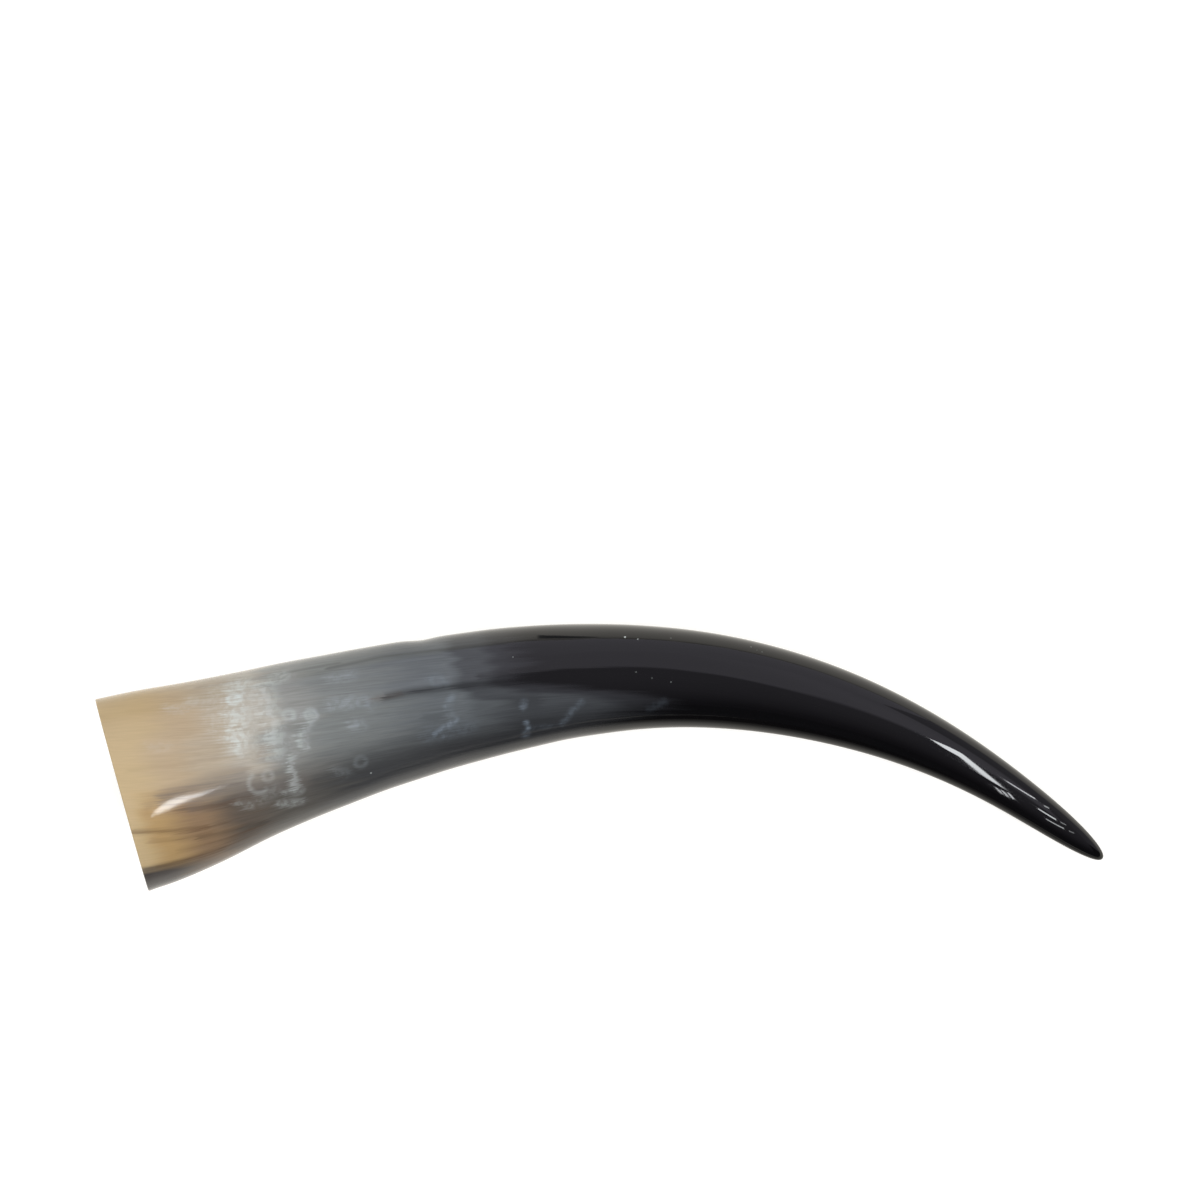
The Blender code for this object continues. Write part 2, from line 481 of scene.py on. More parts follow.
# On the base's side the shade is lighter and wider, and below the tip it ends
BASE_SIDE = (-0.03, 0.08)
BASE_REACH = 0.38
BASE_GAIN = 0.75
BASE_GAIN_BELOW = (-0.02, 0.0)
TIP_SIDE = (0.11, 0.19)
TIP_GLOW = 1.0
TIP_GLOW_BELOW = (0.05, 0.13)


def smooth_curve(knots, values):
    """A natural cubic spline through the knots, as a function of distance."""
    knots = np.array(knots, float)
    values = np.array(values, float)
    gaps = np.diff(knots)
    slopes = np.diff(values) / gaps
    count = len(knots)
    system = np.eye(count)
    target = np.zeros(count)
    for i in range(1, count - 1):
        system[i, i - 1 : i + 2] = gaps[i - 1], 2 * (gaps[i - 1] + gaps[i]), gaps[i]
        target[i] = 6 * (slopes[i] - slopes[i - 1])
    bend = np.linalg.solve(system, target)

    def curve(at):
        i = np.clip(np.searchsorted(knots, at) - 1, 0, count - 2)
        before = at - knots[i]
        after = knots[i + 1] - at
        gap = gaps[i]
        return (
            (bend[i] * after**3 + bend[i + 1] * before**3) / (6 * gap)
            + (values[i] / gap - bend[i] * gap / 6) * after
            + (values[i + 1] / gap - bend[i + 1] * gap / 6) * before
        )

    return curve


class Horn:
    """The centreline and the oval sections of the horn."""

    STEPS = 2000

    def __init__(self):
        distance, heading, half_width = np.array(STATIONS).T
        self.heading = smooth_curve(distance, np.radians(heading))
        # Divided by the root of what is left to the tip, the width stays finite and the tip ends round
        self.fullness = smooth_curve(distance, half_width / np.sqrt(LENGTH - distance))
        self.roundness = smooth_curve(*np.array(ROUNDNESS).T)
        self.line = self.trace_centreline()

    def half_width(self, distance):
        return self.fullness(distance) * np.sqrt(np.maximum(LENGTH - distance, 0))

    def half_height(self, distance):
        return self.half_width(distance) * self.roundness(distance)

    def trace_centreline(self):
        """Distance, x, y, z and climb along the line, with the horn's underside on the surface."""
        distance = np.linspace(0, LENGTH, self.STEPS)
        step = distance[1]
        heading = self.heading(distance)
        x = np.cumsum(np.cos(heading)) * step
        y = np.cumsum(np.sin(heading)) * step
        half_height = self.half_height(distance)
        lift = TIP_LIFT * np.maximum((distance - TIP_LIFT_FROM) / (LENGTH - TIP_LIFT_FROM), 0) ** 2
        lean = SAW_LEAN * np.maximum(1 - distance / SAW_LEAN_REACH, 0) ** 2
        climb = np.clip(np.gradient(half_height + lift, step) - lean, -STEEPEST, STEEPEST)
        z = half_height / np.sqrt(1 + climb**2) + lift
        return distance, x, y, z, climb

    def sections(self, distance):
        """The centres of sections, and the directions of their half width and half height."""
        x, y, z, climb = (np.interp(distance, self.line[0], column) for column in self.line[1:])
        heading = self.heading(distance)
        level = np.zeros_like(heading)
        side = np.stack([-np.sin(heading), np.cos(heading), level], axis=1)
        along = np.stack([np.cos(heading), np.sin(heading), climb], axis=1)
        along /= np.linalg.norm(along, axis=1, keepdims=True)
        return np.stack([x, y, z], axis=1), side, np.cross(along, side)


def core_share(distance):
    """The hollow's width over the horn's, which closes to a point at the hollow's end."""
    return CORE_SHARE * (1 - (distance / CORE_LENGTH) ** CORE_BEND) ** CORE_NOSE


def ring_table(horn):
    """Distance, half width, half height and finish of each ring, from the tip over the rim to the hollow."""
    left = (np.arange(1, OUTER_RINGS) / OUTER_RINGS) ** RING_CROWDING
    outer = LENGTH * (1 - left)
    outer = outer[outer > RIM_BREAK * CLEAR_OF_RIM]
    rows = [(d, horn.half_width(d), horn.half_height(d), OUTSIDE) for d in outer]
    width, height = horn.half_width(0), horn.half_height(0)
    core_width, core_height = width * CORE_SHARE, height * CORE_SHARE
    quarter = np.linspace(0, pi / 2, BREAK_STEPS + 1)
    for angle in quarter:
        inset = RIM_BREAK * (1 - np.cos(angle))
        rows.append((RIM_BREAK * (1 - np.sin(angle)), width - inset, height - inset, OUTSIDE))
    for angle in quarter[::-1]:
        inset = RIM_BREAK * (1 - np.cos(angle))
        rows.append((RIM_BREAK * (1 - np.sin(angle)), core_width + inset, core_height + inset, RIM))
    for i in range(1, CORE_RINGS):
        depth = RIM_BREAK + (CORE_LENGTH - RIM_BREAK) * (1 - (1 - i / CORE_RINGS) ** RING_CROWDING)
        share = core_share(depth)
        rows.append((depth, horn.half_width(depth) * share, horn.half_height(depth) * share, INSIDE))
    return np.array(rows).T


def hand_polish(distance, turn):
    """How far the polish stands off the smooth form: long shallow waves, and a dent on the outer bend."""
    offset = 0
    for depth, length, lobes, phase in POLISH_WAVES:
        offset = offset - depth * (0.5 + 0.5 * np.sin(2 * pi * (distance / length + lobes * turn + phase)))
    away = np.hypot((distance - DENT_AT) / DENT_REACH, (turn - OUTER_BEND) / DENT_SPREAD)
    offset = offset - DENT_DEPTH * np.exp(-(away**2))
    fade = np.clip((WAVES_END - distance) / WAVES_FADE, 0, 1)
    return offset * np.clip(distance / RIM_FADE, 0, 1) * fade**2


def inner_ribs(distance, turn):
    """The uneven wall of the hollow: ribs along it that wander a little, and die out at both ends."""
    offset = 0
    for depth, length, lobes, phase in CORE_WAVES:
        offset = offset + depth * np.sin(2 * pi * (distance / length + lobes * turn + phase))
    return offset * np.clip(distance / RIM_FADE, 0, 1) * np.clip((CORE_LENGTH - distance) / CORE_FADE, 0, 1)


def horn_corners(horn, rows):
    """The rings' corners, a ring a row. Each starts at the underside and turns over the outer bend."""
    distance, half_width, half_height, part = (row[:, None] for row in rows)
    turn = np.arange(SIDES) / SIDES
    cos, sin = np.cos(2 * pi * turn - pi / 2), np.sin(2 * pi * turn - pi / 2)
    offset = np.where(part == INSIDE, inner_ribs(distance, turn), hand_polish(distance, turn))
    slope = np.hypot(cos / half_width, sin / half_height)
    across = half_width * cos + offset * cos / half_width / slope
    over = half_height * sin + offset * sin / half_height / slope
    centre, side, up = horn.sections(rows[0])
    return centre[:, None, :] + side[:, None, :] * across[..., None] + up[:, None, :] * over[..., None]


def grain_drift(distance):
    """How many turns the fibres have wound round the horn at a distance from the mouth."""
    return GRAIN_DRIFT * (1 - np.exp(-distance / GRAIN_DRIFT_REACH))


def face_places(rings):
    """Each face as its corners' places, row and column. The first and the last row are the end points."""
    for i in range(SIDES):
        yield [(0, i + 0.5), (1, i), (1, i + 1)]
    for row in range(1, rings):
        for i in range(SIDES):
            yield [(row, i + 1), (row, i), (row + 1, i), (row + 1, i + 1)]
    for i in range(SIDES):
        yield [(rings + 1, i + 0.5), (rings, i + 1), (rings, i)]


def grow_horn():
    """The fine mesh, laid where the solid is, and where it rests.

    It has its grain map, and a map without overlaps for baking. Where it rests is given as points and half
    widths.
    """
    horn = Horn()
    rows = ring_table(horn)
    rings = rows.shape[1]
    ends = horn.sections(np.array([LENGTH, CORE_LENGTH]))[0]
    points = np.concatenate([ends[:1], horn_corners(horn, rows).reshape(-1, 3), ends[1:]])
    low, high = (np.array(corner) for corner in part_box("horn"))
    start = points.min(axis=0)
    scale = (high - low) / (points.max(axis=0) - start)
    points = low + (points - start) * scale
    stations = np.array(CONTACT_AT)
    contact = list(zip(low + (horn.sections(stations)[0] - start) * scale, horn.half_width(stations)))
    distance = np.concatenate([[LENGTH], rows[0], [CORE_LENGTH]])
    drift = grain_drift(distance)
    part = np.concatenate([[OUTSIDE], rows[3], [INSIDE]]).astype(int)
    first_rim = int(np.flatnonzero(part == RIM)[0]) - 1
    rim_rows = int(np.count_nonzero(part == RIM))

    def corner(row, column):
        if row in (0, rings + 1):
            return 0 if row == 0 else len(points) - 1
        return 1 + (row - 1) * SIDES + column % SIDES

    def bake_place(face_part, row, column):
        left, bottom, width, height = BAKE_PLACES[face_part]
        if face_part == RIM:
            return left + width * column / SIDES, bottom + height * (row - first_rim) / rim_rows
        return left + width * distance[row] / LENGTH, bottom + height * column / SIDES

    faces, grain, bake, finish = [], [], [], []
    for places in face_places(rings):
        face_part = part[max(row for row, _ in places)]
        faces.append([corner(*place) for place in places])
        finish.append(face_part)
        grain += [(distance[row], column / SIDES - drift[row]) for row, column in places]
        bake += [bake_place(face_part, *place) for place in places]
    mesh = bpy.data.meshes.new("polished_horn")
    mesh.from_pydata(points.tolist(), [], faces)
    for name, spots in (("grain", grain), ("OFBake", bake)):
        mesh.uv_layers.new(name=name).data.foreach_set("uv", np.array(spots, np.float32).ravel())
    mesh.polygons.foreach_set("material_index", finish)
    mesh.shade_smooth()
    mesh.set_sharp_from_angle(angle=SHARP_EDGE)
    piece = bpy.data.objects.new("polished_horn", mesh)
    bpy.context.scene.collection.objects.link(piece)
    return piece, contact


class Photo:
    """Finds the place on the horn that a pixel of the photo shows, and what the polish mirrors there."""

    def __init__(self, piece):
        mesh = piece.data
        mesh.calc_loop_triangles()
        self.corners = [vertex.co.copy() for vertex in mesh.vertices]
        self.normals = [vertex.normal.copy() for vertex in mesh.vertices]
        self.triangles = [tuple(triangle.vertices) for triangle in mesh.loop_triangles]
        self.tree = BVHTree.FromPolygons(self.corners, self.triangles)

    def spot(self, x, y):
        """The ray through the pixel, the point where it meets the surface, and the triangle there."""
        middle = PHOTO_WIDTH / 2
        ray = Vector(((x - middle) / FOCAL_PIXELS, (middle - y) / FOCAL_PIXELS, -1)).normalized()
        point, _, index, _ = self.tree.ray_cast(CAMERA_PLACE, ray)
        return ray, point, index

    def between_corners(self, point, index, values):
        """What holds at a point of a triangle, between the values at its corners."""
        return barycentric_transform(point, *(self.corners[v] for v in self.triangles[index]), *values)

    def point(self, x, y):
        """The place on the horn that the pixel shows."""
        return self.spot(x, y)[1]

    def mirrored(self, x, y, height):
        """The place at a height that the polish mirrors at the pixel."""
        ray, point, index = self.spot(x, y)
        corner_normals = [self.normals[v] for v in self.triangles[index]]
        normal = self.between_corners(point, index, corner_normals).normalized()
        away = ray - 2 * ray.dot(normal) * normal
        return point + away * (height - point.z) / away.z


def linear(colour):
    """Linear red, green and blue of an sRGB colour given in bytes."""
    shares = [byte / 255 for byte in colour]
    return tuple(c / 12.92 if c <= 0.04045 else ((c + 0.055) / 1.055) ** 2.4 for c in shares)


class Graph:
    """Short names for making shader nodes and linking them."""

    def __init__(self, tree):
        self.tree = tree

    def feed(self, socket, value):
        if isinstance(value, bpy.types.NodeSocket):
            self.tree.links.new(value, socket)
        elif socket.type == "RGBA":
            socket.default_value = (*linear(value), 1)
        else:
            socket.default_value = value

    def node(self, kind, inputs=None, **settings):
        node = self.tree.nodes.new("ShaderNode" + kind)
        for name, value in settings.items():
            setattr(node, name, value)
        for key, value in (inputs or {}).items():
            self.feed(node.inputs[key], value)
        return node

    def math(self, operation, *values):
        return self.node("Math", dict(enumerate(values)), operation=operation).outputs[0]

    def vector(self, operation, *values):
        return self.node("VectorMath", dict(enumerate(values)), operation=operation).outputs["Vector"]

    def length(self, value):
        return self.node("VectorMath", {0: value}, operation="LENGTH").outputs["Value"]

    def dot(self, first, second):
        return self.node("VectorMath", {0: first, 1: second}, operation="DOT_PRODUCT").outputs["Value"]

    def add(self, first, *others):
        for other in others:
            first = self.math("ADD", first, other)
        return first

    def times(self, first, *others):
        for other in others:
            first = self.math("MULTIPLY", first, other)
        return first

    def weighted(self, values, shares):
        """The sum of the values, each times its share."""
        return self.add(*(self.times(value, share) for value, share in zip(values, shares)))

    def smooth(self, value, start, end, low=0.0, high=1.0):
        """From low at start to high at end, eased at both."""
        inputs = {"Value": value, "From Min": start, "From Max": end, "To Min": low, "To Max": high}
        return self.node("MapRange", inputs, interpolation_type="SMOOTHSTEP").outputs["Result"]

    def mix(self, factor, first, second, blend="MIX"):
        node = self.node("Mix", data_type="RGBA", blend_type=blend)
        factor_socket, *colours = (s for s in node.inputs if s.enabled)
        for socket, value in zip((factor_socket, *colours), (factor, first, second)):
            self.feed(socket, value)
        return next(s for s in node.outputs if s.enabled)

    def noise(self, vector, scale, detail=2.0, roughness=0.5, output=0):
        inputs = {"Vector": vector, "Scale": scale, "Detail": detail, "Roughness": roughness}
        return self.node("TexNoise", inputs).outputs[output]

    def ramp(self, value, stops):
        """Colours by distance from the mouth."""
        node = self.node("ValToRGB", {0: self.math("DIVIDE", value, LENGTH)})
        ramp = node.color_ramp
        ramp.interpolation = "EASE"
        while len(ramp.elements) < len(stops):
            ramp.elements.new(0.5)
        for element, (distance, colour) in zip(ramp.elements, stops):
            element.position = distance / LENGTH
            element.color = (*linear(colour), 1)
        return node.outputs["Color"]


def mark_group(name, inputs):
    """A node group with one output, its graph and a way to read its inputs."""
    tree = bpy.data.node_groups.new(name, "ShaderNodeTree")
    for socket, kind in inputs.items():
        tree.interface.new_socket(socket, in_out="INPUT", socket_type="NodeSocket" + kind)
    tree.interface.new_socket("Mark", in_out="OUTPUT", socket_type="NodeSocketFloat")
    return tree, Graph(tree), tree.nodes.new("NodeGroupInput").outputs


def ring_group():
    """A ring round a centre, filled a little, with a gap towards the open side where one is given."""
    inputs = {"Place": "Vector", "Centre": "Vector", "Radius": "Float", "Width": "Float", "Fill": "Float"}
    inputs["Open"] = "Vector"
    tree, g, given = mark_group("ring", inputs)
    away = g.vector("SUBTRACT", given["Place"], given["Centre"])
    off_line = g.math("ABSOLUTE", g.math("SUBTRACT", g.length(away), given["Radius"]))
    line = g.smooth(off_line, given["Width"], 0.0)
    inside = g.smooth(g.math("DIVIDE", g.length(away), given["Radius"]), *RING_FILLING)
    towards = g.math("DIVIDE", g.dot(away, given["Open"]), given["Radius"])
    closed = g.smooth(towards, *RING_GAP)
    mark = g.math("MAXIMUM", g.times(line, closed), g.times(inside, given["Fill"]))
    end = tree.nodes.new("NodeGroupOutput")
    tree.links.new(mark, end.inputs[0])
    return tree


def stroke_group():
    """A soft stroke from a start to an end."""
    inputs = {"Place": "Vector", "Start": "Vector", "End": "Vector", "Width": "Float"}
    tree, g, given = mark_group("stroke", inputs)
    away = g.vector("SUBTRACT", given["Place"], given["Start"])
    along = g.vector("SUBTRACT", given["End"], given["Start"])
    share = g.math("DIVIDE", g.dot(away, along), g.dot(along, along))
    share = g.node("Clamp", {0: share}).outputs[0]
    scaled = g.node("VectorMath", {0: along, "Scale": share}, operation="SCALE").outputs["Vector"]
    off_line = g.length(g.vector("SUBTRACT", away, scaled))
    end = tree.nodes.new("NodeGroupOutput")
    tree.links.new(g.smooth(off_line, given["Width"], 0.0), end.inputs[0])
    return tree


class Marks:
    """Lays rings and strokes on the horn and gathers how strongly each spot is marked."""

    RING_WIDTH = 0.0017
    SPECK = 1e-5  # a ring so small is a dot

    def __init__(self, graph, photo):
        self.graph = graph
        self.photo = photo
        self.ring_tree = ring_group()
        self.stroke_tree = stroke_group()

    def lay(self, tree, strength, inputs):
        node = self.graph.tree.nodes.new("ShaderNodeGroup")
        node.node_tree = tree
        for key, value in inputs.items():
            self.graph.feed(node.inputs[key], value)
        return self.graph.times(node.outputs[0], strength)

    def ring(self, place, pixel, radius, strength, fill, opening=(0, 0)):
        centre = self.photo.point(*pixel)
        inputs = {"Place": place, "Centre": centre, "Radius": radius / 1000, "Width": self.RING_WIDTH}
        inputs["Fill"] = fill
        inputs["Open"] = Vector((opening[0], -opening[1], 0))
        return self.lay(self.ring_tree, strength, inputs)

    def stroke(self, place, pixels, width, strength):
        points = [self.photo.point(*pixel) for pixel in pixels]
        pairs = zip(points, points[1:])
        inputs = [{"Place": place, "Start": a, "End": b, "Width": width / 1000} for a, b in pairs]
        return self.most([self.lay(self.stroke_tree, strength, each) for each in inputs])

    def speck(self, place, pixel, width, strength):
        centre = self.photo.point(*pixel)
        inputs = {"Place": place, "Centre": centre, "Radius": self.SPECK, "Width": width / 1000}
        return self.lay(self.ring_tree, strength, inputs)

    def most(self, masks):
        total = masks[0]
        for mask in masks[1:]:
            total = self.graph.math("MAXIMUM", total, mask)
        return total

    def rings(self, place, table):
        return self.most([self.ring(place, *row) for row in table])

    def strokes(self, place, table):
        return self.most([self.stroke(place, *row) for row in table])

    def specks(self, place, table):
        return self.most([self.speck(place, *row) for row in table])


def new_material(name, **values):
    """A material, its graph and its shader, with plain values on the shader's own sockets."""
    material = bpy.data.materials.new(name)
    material.use_nodes = True
    shader = material.node_tree.nodes["Principled BSDF"]
    graph = Graph(material.node_tree)
    for key, value in values.items():
        graph.feed(shader.inputs[key.replace("_", " ")], value)
    return material, graph, shader


def grain_space(g, distance, turn, stretch):
    """A space for noise that closes round the horn and runs long along the fibres."""
    angle = g.times(turn, 2 * pi)
    x = g.times(g.math("COSINE", angle), GRAIN_RADIUS)
    y = g.times(g.math("SINE", angle), GRAIN_RADIUS)
    return g.node("CombineXYZ", {0: x, 1: y, 2: g.times(distance, 1 / stretch)}).outputs[0]


def grain_noise(g, distance, turn, stretch, *scales):
    """Noise that is drawn out along the fibres."""
    return g.noise(grain_space(g, distance, turn, stretch), *scales)


def polished_keratin(photo):
    """Tan and grey to black, in fibres that wind round the horn, with clouds and rings under the polish."""
    material, g, shader = new_material("polished_keratin", IOR=POLISH_IOR)
    grain = g.node("SeparateXYZ", {0: g.node("UVMap", uv_map="grain").outputs[0]})
    distance, turn = grain.outputs[0], grain.outputs[1]
    broad = g.add(grain_noise(g, distance, turn, *BROAD_GRAIN), -0.5)
    streaks = g.add(grain_noise(g, distance, turn, *STREAK_GRAIN), -0.5)
    fibres = g.add(grain_noise(g, distance, turn, *FIBRE_GRAIN), -0.5)
    hairs = g.add(grain_noise(g, distance, turn, *HAIR_GRAIN), -0.5)

    # Long fingers where one pigment gives way to the next
    finger = g.weighted((broad, streaks, fibres), FINGER_SHARES)
    reach = g.add(distance, g.times(finger, g.smooth(distance, *FINGERS_GROW)))
    lead = g.add(g.smooth(distance, *UPPER_LEADS), g.smooth(distance, *UPPER_LAGS))
    upper = g.times(g.smooth(turn, *UPPER_SIDE), lead)
    top = g.ramp(g.add(reach, upper), TOP_PIGMENTS)
    lower = g.ramp(reach, LOWER_PIGMENTS)
    below = g.add(turn, g.weighted((streaks, fibres), BORDER_SHARES))
    middle = g.smooth(distance, *LOWER_EDGE_MOVES)
    border = g.smooth(distance, *LOWER_EDGE_SOFTENS)
    entering = g.smooth(g.math("DIVIDE", g.math("SUBTRACT", below, middle), border), -1.0, 1.0)
    leaving = g.smooth(below, *LOWER_SIDE_ENDS)
    colour = g.mix(g.times(entering, leaving), top, lower)
    honey = g.times(g.smooth(turn, *HONEY_SIDE), g.smooth(distance, *HONEY_REACH), HONEY_STRENGTH)
    colour = g.mix(honey, colour, HONEY)
    off_bruise = g.math("PINGPONG", g.add(turn, -BRUISE_MIDDLE, g.times(streaks, BRUISE_STREAKS)), 0.5)
    soft = g.smooth(distance, *BRUISE_SOFTENS)
    edge = g.math("DIVIDE", g.math("SUBTRACT", BRUISE_HALF, off_bruise), soft)
    bruise = g.times(g.smooth(edge, -1.0, 1.0), g.smooth(reach, *BRUISE_REACH))
    colour = g.mix(bruise, colour, BRUISE)

    # Fine lines along the fibres
    strong = g.smooth(distance, *LINES_STRENGTHEN)
    hairy = g.times(g.smooth(hairs, *HAIR_SHADE), g.smooth(distance, *HAIRS_STRENGTHEN))
    lines = g.add(g.smooth(streaks, *STREAK_SHADE), g.smooth(fibres, *FIBRE_SHADE))
    shade = g.add(g.times(lines, strong), hairy, 1.0)
    tone = g.node("CombineColor", {0: shade, 1: shade, 2: shade}).outputs[0]
    colour = g.mix(1.0, colour, tone, "MULTIPLY")
    strands = g.smooth(g.add(fibres, g.times(streaks, STRAND_STREAKS)), *STRAND_SHADE)
    strands = g.times(strands, entering, leaving)
    strands = g.times(strands, g.smooth(distance, *STRANDS_START), g.smooth(distance, *STRANDS_END))
    colour = g.mix(strands, colour, BARK)

    # Marks, drawn out along the fibres and broken by them
    here = g.node("TexCoord").outputs["Object"]
    marks = Marks(g, photo)
    drawn_out = g.weighted((hairs, fibres, streaks), DRAWN_OUT)
    shift = g.node("VectorMath", {0: ALONG_FIBRES, "Scale": drawn_out}, operation="SCALE").outputs["Vector"]
    near = g.vector("MULTIPLY_ADD", shift, (NEAR_SHIFT,) * 3, here)
    far = g.vector("MULTIPLY_ADD", shift, (FAR_SHIFT,) * 3, here)
    broken = g.weighted((1.0, hairs, fibres), BROKEN)
    patchy = g.smooth(g.noise(here, *PATCH_NOISE), *PATCH_SHADE)
    pale = g.math("MAXIMUM", marks.rings(near, PALE_RINGS), marks.rings(near, PALE_CRESCENTS))
    colour = g.mix(g.times(marks.strokes(far, BROWN_STREAKS), broken), colour, BARK)
    colour = g.mix(g.times(marks.strokes(far, GREY_STREAKS), broken), colour, HAZE)
    # Dark streaks, one of them a painted dark reflection
    colour = g.mix(g.times(marks.strokes(far, DARK_STREAKS_AND_PAINTED_REFLECTION), broken), colour, BLACK)
    veil = g.mix(g.smooth(distance, *CLOUDS_TURN_BLUE), CLOUD, BLUE_CLOUD)
    clouds = g.times(marks.strokes(far, PALE_STROKES), CLOUD_STRENGTH, patchy)
    blue = g.times(marks.strokes(near, BLUE_STROKES), patchy)
    colour = g.mix(g.times(g.math("MAXIMUM", clouds, blue), broken), colour, veil)
    colour = g.mix(g.times(pale, RING_STRENGTH, broken), colour, veil)
    colour = g.mix(marks.specks(here, PALE_SPECKS), colour, CLOUD)
    g.feed(shader.inputs["Base Color"], colour)

    # Brighter polish towards the tip
    calmer = g.smooth(distance, *CALMING)
    rough = g.add(g.smooth(distance, *ROUGHNESS), g.times(fibres, calmer, FIBRE_ROUGHNESS))
    g.feed(shader.inputs["Roughness"], rough)
    relief = g.times(g.add(g.times(streaks, STREAK_RELIEF), fibres), calmer)
    bump = g.node("Bump", {"Height": relief, **POLISH_BUMP})
    g.feed(shader.inputs["Normal"], bump.outputs[0])
    return material


def sawn_keratin():
    """The rim: pale, dull, with the saw's scratches across it."""
    material, g, shader = new_material("sawn_keratin", IOR=1.55, Roughness=0.55)
    here = g.node("TexCoord").outputs["Object"]
    scratches = g.noise(g.vector("MULTIPLY", here, SAW_SQUEEZE), *SCRATCH_NOISE)
    patches = g.noise(here, *SAWN_NOISE)
    colour = g.mix(g.smooth(patches, *SAWN_SHADE), SAWN_PALE, SAWN_DULL)
    colour = g.mix(g.smooth(scratches, *SCRATCH_SHADE), colour, SAWN_SCRATCH)
    g.feed(shader.inputs["Base Color"], colour)
    bump = g.node("Bump", {"Height": scratches, **SAWN_BUMP})
    g.feed(shader.inputs["Normal"], bump.outputs[0])
    return material


def hollow_wall():
    """The wall of the hollow: rough, matte, yellowish near the mouth and brown further in."""
    material, g, shader = new_material("hollow_wall", IOR=1.5, Roughness=0.8)
    grain = g.node("SeparateXYZ", {0: g.node("UVMap", uv_map="grain").outputs[0]})
    distance, turn = grain.outputs[0], grain.outputs[1]
    ribs = grain_noise(g, distance, turn, *RIB_GRAIN)
    stains = grain_noise(g, distance, turn, *STAIN_GRAIN)
    near = g.mix(g.smooth(stains, *STAIN_SHADE), HOLLOW_PALE, HOLLOW_STAIN)
    deep = g.mix(g.smooth(stains, *STAIN_SHADE), HOLLOW_DEEP, HOLLOW_DEEP_STAIN)
    colour = g.mix(g.smooth(g.add(distance, g.times(stains, STAIN_PUSH)), *HOLLOW_DARKENS), near, deep)
    colour = g.mix(g.smooth(ribs, *RIB_SHADE), colour, HOLLOW_RIB)
    g.feed(shader.inputs["Base Color"], colour)
    bump = g.node("Bump", {"Height": ribs, **HOLLOW_BUMP})
    g.feed(shader.inputs["Normal"], bump.outputs[0])
    return material


def area_light(name, place, size, brightness, facing="down", shines="polish"):
    """A flat light that only shines in the polish, or else only lights the horn's own colour."""
    data = bpy.data.lights.new(name, "AREA")
    data.shape = "RECTANGLE"
    data.size, data.size_y = size
    data.energy = brightness * pi * size[0] * size[1]
    data.color = WARM if shines == "colour" else DUSK
    light = bpy.data.objects.new(name, data)
    light.location = place
    light.rotation_euler = FACINGS[facing]
    light.visible_glossy = shines == "polish"
    light.visible_diffuse = shines == "colour"
    light.visible_camera = False
    bpy.context.scene.collection.objects.link(light)


def sheet(name, corners, material, seen_by):
    """A flat piece of the studio that only some rays see."""
    mesh = bpy.data.meshes.new(name)
    mesh.from_pydata(corners, [], [range(len(corners))])
    mesh.materials.append(material)
    piece = bpy.data.objects.new(name, mesh)
    bpy.context.scene.collection.objects.link(piece)
    for ray in ("camera", "diffuse", "glossy", "shadow", "transmission", "volume_scatter"):
        setattr(piece, "visible_" + ray, ray in seen_by)


def glow(name, colour, brightness):
    """A material that only shines."""
    material, graph, shader = new_material(name, Roughness=1.0, Specular_IOR_Level=0.0)
    shader.inputs["Base Color"].default_value = (0, 0, 0, 1)
    shader.inputs["Emission Color"].default_value = (*colour, 1)
    graph.feed(shader.inputs["Emission Strength"], brightness)
    return material, graph, shader


def overhead():
    """What the polish sees above: a bright far side, and a ceiling that darkens towards the viewer."""
    material, g, shader = glow("overhead", DUSK, ROOM)
    place = g.node("SeparateXYZ", {0: g.node("TexCoord").outputs["Object"]})
    x, y = place.outputs[0], place.outputs[1]
    slant = g.times(g.math("MAXIMUM", g.add(x, -FAR_SLANT_FROM), 0.0), FAR_SLANT)
    edge = g.add(g.smooth(x, *FAR_BEND, *FAR_EDGE), slant)
    soft = g.smooth(x, *FAR_SOFTENS, *FAR_SOFT)
    past = g.math("DIVIDE", g.math("SUBTRACT", y, edge), soft)
    middle = g.smooth(g.math("ABSOLUTE", g.add(x, -FAR_PEAK)), FAR_PEAK_REACH, 0.0, 0.0, FAR_PEAK_GAIN)
    far = g.times(g.add(middle, 1.0), ROOM)
    near = g.smooth(y, *CEILING_FADE, *CEILING)
    share = g.smooth(past, -1.0, 1.0)
    strength = g.add(near, g.times(share, g.math("SUBTRACT", far, near)))
    g.feed(shader.inputs["Emission Strength"], strength)
    corners = [(*corner, OVERHEAD_HEIGHT) for corner in OVERHEAD_CORNERS]
    sheet("overhead", corners, material, ["glossy"])


def studio(photo):
    """A broad soft light overhead, the room's bright far side, and lamps where the photo shows highlights."""
    area_light("key", KEY_PLACE, KEY_SIZE, KEY, shines="colour")
    overhead()
    area_light("right_wall", RIGHT_WALL_PLACE, RIGHT_WALL_SIZE, RIGHT_WALL, facing="-X")
    area_light("far_wall", FAR_WALL_PLACE, FAR_WALL_SIZE, ROOM, facing="-Y")
    for name, (pixels, height, brightness) in LAMPS.items():
        corners = [photo.mirrored(*pixel, height) for pixel in pixels]
        sheet(name, corners, glow(name, COOL, brightness)[0], ["glossy"])
    world = bpy.data.worlds.new("room")
    world.use_nodes = True
    background = world.node_tree.nodes["Background"]
    background.inputs["Color"].default_value = AIR
    background.inputs["Strength"].default_value = AIR_GLOW
    bpy.context.scene.world = world
    bpy.context.scene.view_settings.view_transform = "Standard"


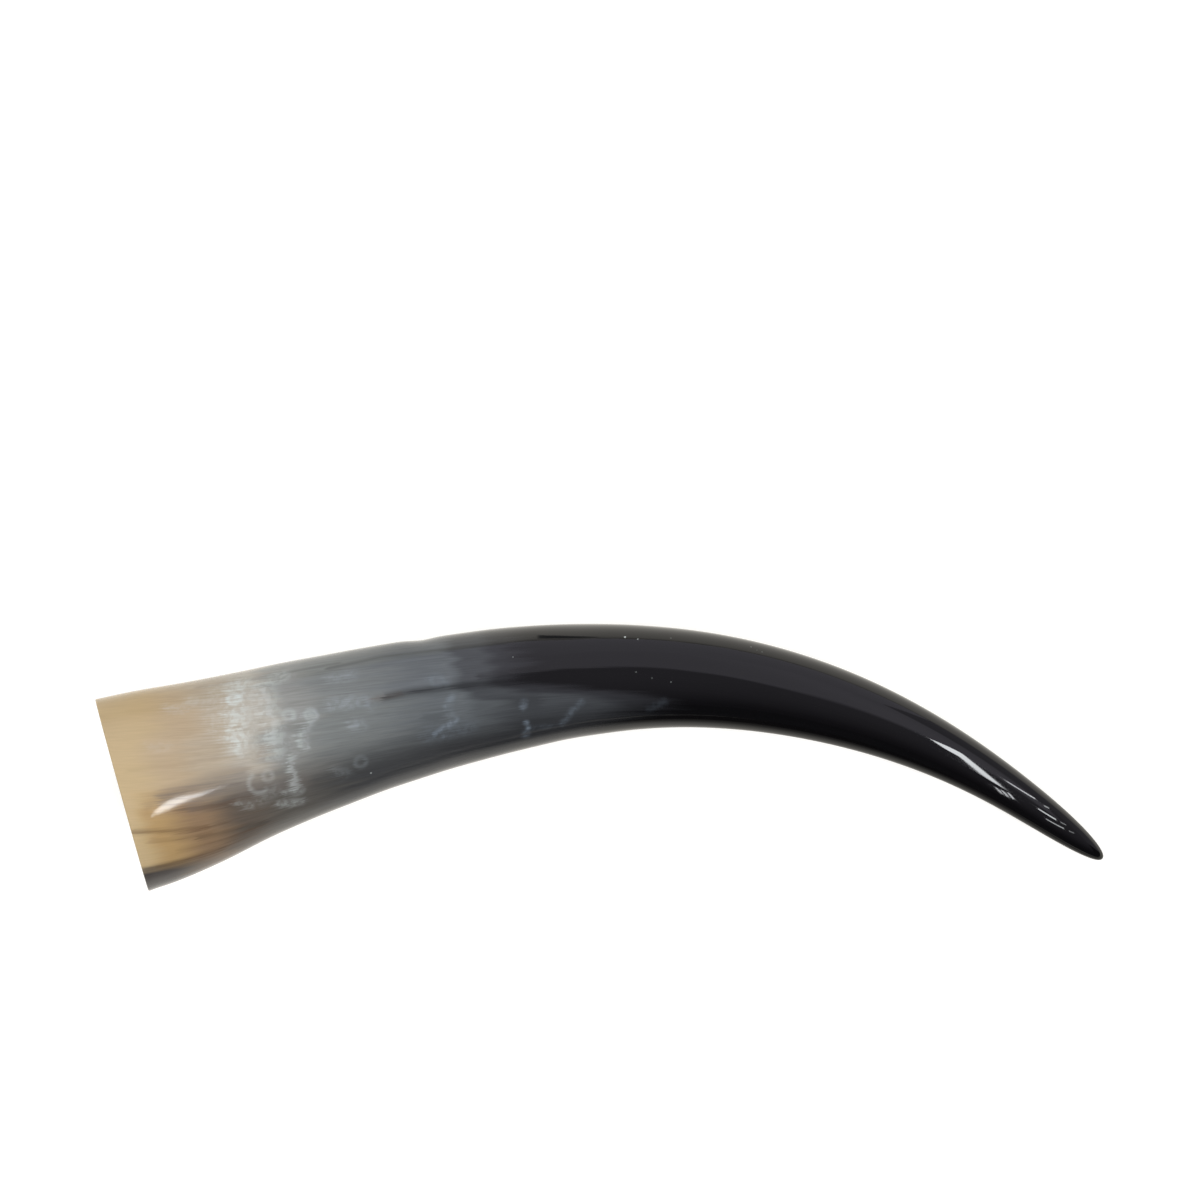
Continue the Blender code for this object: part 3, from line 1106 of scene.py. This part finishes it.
def table(contact):
    """The white surface as the eye sees it, darker right under the horn, and the white beyond."""
    material, g, shader = new_material("white_table", Roughness=0.9, Specular_IOR_Level=0.0)
    here = g.node("TexCoord").outputs["Object"]
    tree = stroke_group()
    shade = 0.0
    for (start, start_width), (end, end_width) in zip(contact, contact[1:]):
        node = g.tree.nodes.new("ShaderNodeGroup")
        node.node_tree = tree
        g.feed(node.inputs["Place"], here)
        g.feed(node.inputs["Start"], Vector((*start[:2], 0)))
        g.feed(node.inputs["End"], Vector((*end[:2], 0)))
        g.feed(node.inputs["Width"], (start_width + end_width) / 2)
        shade = g.math("MAXIMUM", shade, node.outputs[0])
    shader.inputs["Base Color"].default_value = TABLE_COLOUR
    shader.inputs["Emission Color"].default_value = (*TABLE_TINT, 1)
    lit = g.add(g.times(shade, -CONTACT_SHADE), 1.0)
    g.feed(shader.inputs["Emission Strength"], g.times(lit, TABLE_GLOW))
    far, high = FLOOR_HALF, BACKDROP_HEIGHT
    ground = [(-far, -far, 0), (far, -far, 0), (far, far, 0), (-far, far, 0)]
    sheet("table", ground, material, ["camera", "diffuse", "shadow"])
    white, _, _ = glow("backdrop", TABLE_TINT, BACKDROP_GLOW)
    for i, (start, end) in enumerate(zip(ground, ground[1:] + ground[:1])):
        wall = [start, end, (end[0], end[1], high), (start[0], start[1], high)]
        sheet("backdrop_%d" % i, wall, white, ["camera"])


def card():
    """The surface as the polish finds it: dimmer far out, in the horn's shade and beyond the inner bend."""
    material, g, shader = glow("card", CARD_TINT, 1.0)
    here = g.node("TexCoord").outputs["Object"]
    place = g.node("SeparateXYZ", {0: here})
    x, y = place.outputs[0], place.outputs[1]
    across = g.add(x, -INNER_TOP[0])
    fall = g.times(across, across, g.smooth(across, *INNER_TURNS, *INNER_FALL))
    below = g.math("SUBTRACT", g.math("SUBTRACT", INNER_TOP[1], fall), y)
    shortened = g.times(g.math("MAXIMUM", below, 0.0), g.smooth(x, *BASE_SIDE, BASE_REACH, 1.0))
    below = g.add(shortened, g.math("MINIMUM", below, 0.0))
    strength = INNER_SHADE[0][1]
    for (start, high), (end, low) in zip(INNER_SHADE, INNER_SHADE[1:]):
        strength = g.add(strength, g.smooth(below, start, end, 0.0, low - high))
    brighter = g.times(g.smooth(x, *BASE_SIDE, BASE_GAIN, 0.0), g.smooth(below, *BASE_GAIN_BELOW))
    strength = g.times(strength, g.add(brighter, 1.0))
    tip_glow = g.times(g.smooth(x, *TIP_SIDE, 0.0, TIP_GLOW), g.smooth(below, *TIP_GLOW_BELOW))
    strength = g.add(strength, tip_glow)
    strength = g.times(strength, g.smooth(g.length(here), *CARD_FALLOFF))
    g.feed(shader.inputs["Emission Strength"], strength)
    far, z = FLOOR_HALF, CARD_HEIGHT
    sheet("card", [(-far, -far, z), (far, -far, z), (far, far, z), (-far, far, z)], material, ["glossy"])


def camera():
    """The camera of the photo, straight above."""
    data = bpy.data.cameras.new("camera")
    data.lens = CAMERA_LENS
    data.sensor_width = SENSOR
    data.clip_end = FAR_CLIP
    eye = bpy.data.objects.new("camera", data)
    eye.location = CAMERA_PLACE
    bpy.context.scene.collection.objects.link(eye)
    bpy.context.scene.camera = eye


horn, contact = grow_horn()
photo = Photo(horn)
for finish in (polished_keratin(photo), sawn_keratin(), hollow_wall()):
    horn.data.materials.append(finish)
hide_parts("horn")
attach(horn, "root")
table(contact)
card()
studio(photo)
camera()
